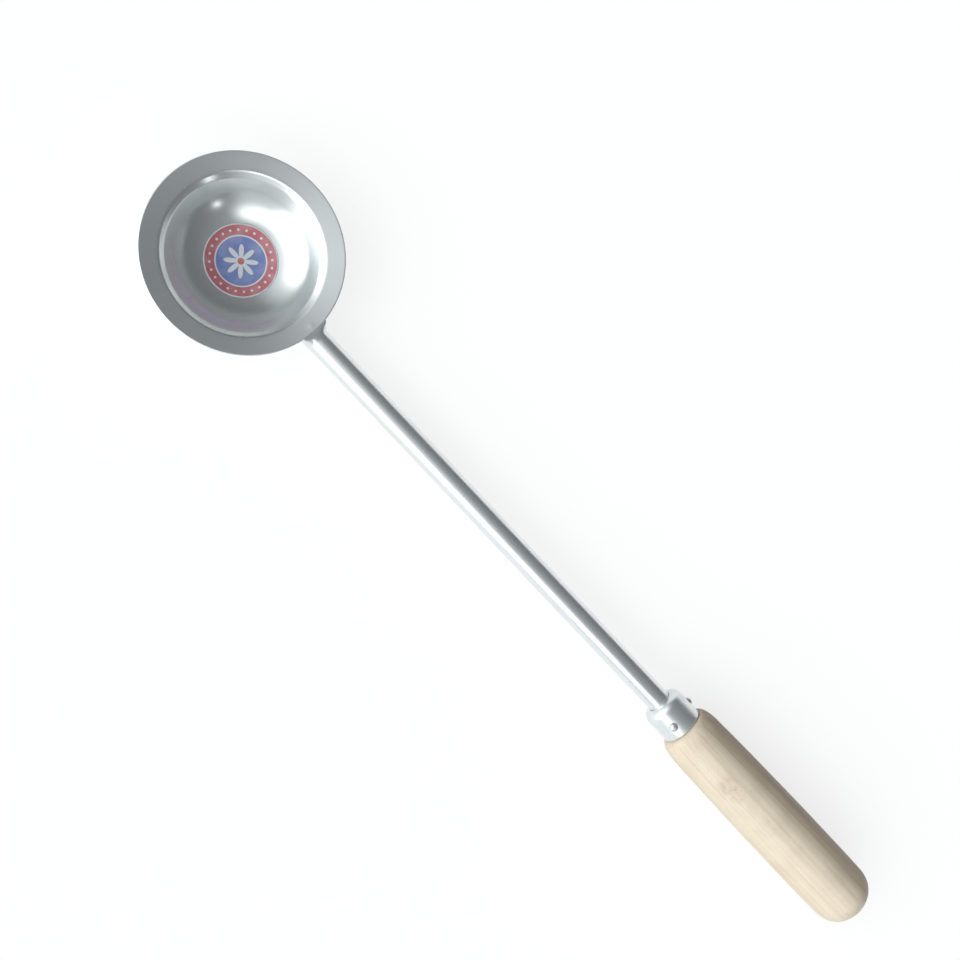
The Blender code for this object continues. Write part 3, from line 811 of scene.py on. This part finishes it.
def label_grid():
    """A disc that follows the dish, one paper thick, with a rounded edge. Its height over the steel
    adds short radial puckers that grow towards the edge and one corner that has started to lift."""
    share = np.linspace(0.0, 1.0, LABEL_ROWS)
    out = np.concatenate((share, share[::-1])) * LABEL_RADIUS
    lift = np.repeat((LABEL_THICKNESS, LABEL_GLUE), LABEL_ROWS)
    lift[LABEL_ROWS - 1] = 0.7 * LABEL_THICKNESS
    out, turn = np.meshgrid(out, ring_turns(LABEL_COLUMNS), indexing="ij")
    rim = np.clip((out - PUCKER_START) / (LABEL_RADIUS - PUCKER_START), 0.0, 1.0) ** 2
    pucker = PUCKER_HEIGHT * rim * (1.0 + np.sin(13.0 * turn + 0.8 * np.sin(3.0 * turn)))
    corner = CORNER_LIFT * rim**3 * np.exp(-((turn - CORNER_TURN) / CORNER_SPREAD) ** 2)
    up = np.interp(out, dish_out, dish_up) + lift[:, None] + pucker + corner
    return from_bowl(out * np.cos(turn), out * np.sin(turn), up)


label_paper, tone, shader = new_finish("label_paper")
place = tone.laid(RIM_CENTRE, BOWL_LEAN)
x, y = place.axes()[:2]
out = x.span(y)
turn = tone.math("ARCTAN2", y, x)
dot_share = tone.math("FRACT", turn * (DOT_COUNT / (2.0 * math.pi)))
dot_aside = (dot_share - 0.5) * (2.0 * math.pi * DOT_RING / DOT_COUNT)
dots = 1.0 - dot_aside.span(out - DOT_RING).between(*DOT_EDGE)
petal_wave = tone.math("COSINE", turn * PETAL_COUNT) * 0.5 + 0.5
petals = 1.0 - (out - petal_wave ** 0.7 * PETAL_REACH).between(*PETAL_EDGE)
eye = 1.0 - out.between(*EYE_EDGE)
field = out.between(*FIELD_EDGE)
line = field * (1.0 - out.between(*LINE_EDGE))
border = out.between(*BORDER_EDGE)
speckle = place.noise(2600.0, 2.0)
faded_print_and_painted_haze = place.noise(130.0, 3.0).between(0.35, 0.75)
colour = field.blend(LABEL_BLUE, LABEL_RED)
colour = petals.blend(colour, LABEL_PALE)
colour = eye.blend(colour, LABEL_RED)
colour = line.blend(colour, LABEL_PALE)
colour = dots.blend(colour, LABEL_PALE)
colour = border.blend(colour, LABEL_PALE)
# The pale veil over the print is partly uneven fading and partly painted haze: a painted reflection
# of the room on the gloss film.
colour = (faded_print_and_painted_haze * 0.20 + speckle * 0.12).blend(colour, LABEL_PALE)
tone.fill(shader, {
    "Base Color": colour,
    "Roughness": 0.42 + faded_print_and_painted_haze * 0.08,
    "Coat Weight": 0.6 - faded_print_and_painted_haze * 0.15,
    "Coat Roughness": 0.22,
    "Normal": speckle.bump(PRINT_GRAIN),
})
label = skin("label_sticker", label_grid(), label_paper)
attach(label, "root")
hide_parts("label")


# Floor: a wide sheet of plain paper under the ladle. What the camera and the steel see of it is
# lifted to white, so the white throws no light back onto the ladle.
FLOOR_HALF = 3.0
FLOOR_LEVEL = -0.0001
FLOOR_POINTS = 13
FLOOR_GREY = (0.30, 0.30, 0.30, 1.0)
FLOOR_LIFT = 0.75
BLACK = (0.0, 0.0, 0.0, 1.0)
WHITE = (1.0, 1.0, 1.0, 1.0)


def floor_grid():
    """A flat square just under the ladle, in an even grid of points, and its faces."""
    across = np.linspace(-FLOOR_HALF, FLOOR_HALF, FLOOR_POINTS)
    points = np.stack(np.meshgrid(across, across, FLOOR_LEVEL, indexing="ij"), axis=-1)
    index = np.arange(FLOOR_POINTS**2).reshape(FLOOR_POINTS, FLOOR_POINTS)
    faces = np.stack((index[:-1, :-1], index[1:, :-1], index[1:, 1:], index[:-1, 1:]), axis=-1)
    return points.reshape(-1, 3), faces.reshape(-1, 4)


def seen_by_eye(tone):
    """1 on rays from the camera and on those that steel or glass passes on, and 0 on the rest."""
    rays = tone.node("LightPath", {}, {})
    seen = rays.out("Is Camera Ray") + rays.out("Is Glossy Ray") + rays.out("Is Transmission Ray")
    return seen.between(0.0, 1.0)


floor_paper, tone, shader = new_finish("floor_paper")
tone.fill(shader, {
    "Base Color": FLOOR_GREY,
    "Roughness": 0.9,
    "Emission Color": seen_by_eye(tone).blend(BLACK, WHITE),
    "Emission Strength": FLOOR_LIFT,
})
floor_points, floor_faces = floor_grid()
floor_mesh = bpy.data.meshes.new("floor_paper")
floor_mesh.from_pydata(floor_points, [], floor_faces)
floor_mesh.materials.append(floor_paper)
floor = bpy.data.objects.new("floor_paper", floor_mesh)
bpy.context.scene.collection.objects.link(floor)


# Light: a soft grey room, darkest low on the +Y side, with a wide row of windows on the -Y side
# whose sill rises towards +X, a pale wall to the left of them, and a small lamp beyond the grip.
# The white strip past the floor's far edge is background: it shows in the steel and lights nothing.
ROOM_DARK = (0.165, 0.172, 0.176, 1.0)
ROOM_LIGHT = (0.335, 0.342, 0.347, 1.0)
ROOM_UP = 0.8
ROOM_ASIDE = 0.5
ROOM_FADE = (-0.3, 1.0)
WALL_TOWARDS = (-0.60, -0.60, 0.53)
WALL_FADE = (0.40, 1.0)
WALL_GLOW = (0.98, 1.00, 1.02, 1.0)
STRIP_SIDE = (0.25, 0.65)
STRIP_TURN = 0.15
STRIP_TOP = (0.13, 0.18)
STRIP_TILT = 0.10
WINDOW_TURN = math.radians(264.0)
WINDOW_HALF_TURN = math.radians(66.0)
WINDOW_SOFT = 0.28
WINDOW_LEAST = 0.001
WINDOW_TOP = (math.sin(math.radians(36.0)), math.sin(math.radians(58.0)))
WINDOW_GLOW = (2.9, 2.97, 3.0, 1.0)
SILL_STEP = (-0.05, 0.35)
SILL_RISE = 0.34
SILL_SOFT = 0.40
SILL_GLOW = 0.14
LAMP_PLACE = np.array((0.96, -0.14, 0.30))
LAMP_WIDTH = 0.12
LAMP_POWER = 0.15


def standing(right, up, back, place):
    """The matrix that stands a lamp or camera at a place: its three directions and the place are
    the columns."""
    columns = np.column_stack((right, up, back, place))
    return Matrix(np.vstack((columns, (0.0, 0.0, 0.0, 1.0))).tolist())


room = bpy.data.worlds.new("room")
room.use_nodes = True
bpy.context.scene.world = room
tone = Tone(room.node_tree)
x, y, z = tone.node("TexCoord", {}, {}, "Generated").axes()
lit_wall = x * WALL_TOWARDS[0] + y * WALL_TOWARDS[1] + z * WALL_TOWARDS[2]
strip_side = (y - x * STRIP_TURN).between(*STRIP_SIDE)
strip = strip_side * (1.0 - (z + x * STRIP_TILT).between(*STRIP_TOP))
towards = (x * math.cos(WINDOW_TURN) + y * math.sin(WINDOW_TURN)) / x.span(y, WINDOW_LEAST)
across = towards.between(
    math.cos(WINDOW_HALF_TURN + WINDOW_SOFT), math.cos(WINDOW_HALF_TURN - WINDOW_SOFT))
over_sill = (z - x.between(*SILL_STEP) * SILL_RISE).between(0.0, SILL_SOFT)
sill = over_sill * (1.0 - SILL_GLOW) + SILL_GLOW
window = across * sill * (1.0 - z.between(*WINDOW_TOP))
colour = (z * ROOM_UP - y * ROOM_ASIDE).between(*ROOM_FADE).blend(ROOM_DARK, ROOM_LIGHT)
colour = lit_wall.between(*WALL_FADE).blend(colour, WALL_GLOW)
colour = (strip * seen_by_eye(tone)).blend(colour, WHITE)
colour = window.blend(colour, WINDOW_GLOW)
tone.fill(room.node_tree.nodes["Background"], {"Color": colour, "Strength": 1.0})

lamp_light = bpy.data.lights.new("lamp", "AREA")
lamp_light.shape = "DISK"
lamp_light.size = LAMP_WIDTH
lamp_light.energy = LAMP_POWER
lamp_back = LAMP_PLACE - RIM_CENTRE
lamp_back = lamp_back / np.linalg.norm(lamp_back)
lamp_right = np.cross((0.0, 0.0, 1.0), lamp_back)
lamp_right = lamp_right / np.linalg.norm(lamp_right)
lamp = bpy.data.objects.new("lamp", lamp_light)
lamp.matrix_world = standing(lamp_right, np.cross(lamp_back, lamp_right), lamp_back, LAMP_PLACE)
bpy.context.scene.collection.objects.link(lamp)


# Camera: half a metre above the ladle and a little in front of it, with a common lens. It is turned
# about its own line of sight until the shaft runs across the frame from corner to corner.
CAMERA_PLACE = (-0.08811944, -0.09797620, 0.50752094)
CAMERA_RIGHT = np.array((0.679511, 0.701777, 0.213949))
CAMERA_DOWN = np.array((0.728723, -0.679388, -0.085987))
CAMERA_AHEAD = np.array((0.085011, 0.214339, -0.973053))
CAMERA_LENS = 37.6133
CAMERA_SENSOR = 36.0
CAMERA_NEAR = 0.01
camera_data = bpy.data.cameras.new("camera")
camera_data.lens = CAMERA_LENS
camera_data.sensor_width = CAMERA_SENSOR
camera_data.clip_start = CAMERA_NEAR
camera = bpy.data.objects.new("camera", camera_data)
camera.matrix_world = standing(CAMERA_RIGHT, -CAMERA_DOWN, -CAMERA_AHEAD, CAMERA_PLACE)
bpy.context.scene.collection.objects.link(camera)
bpy.context.scene.camera = camera
bpy.context.scene.view_settings.view_transform = "Standard"
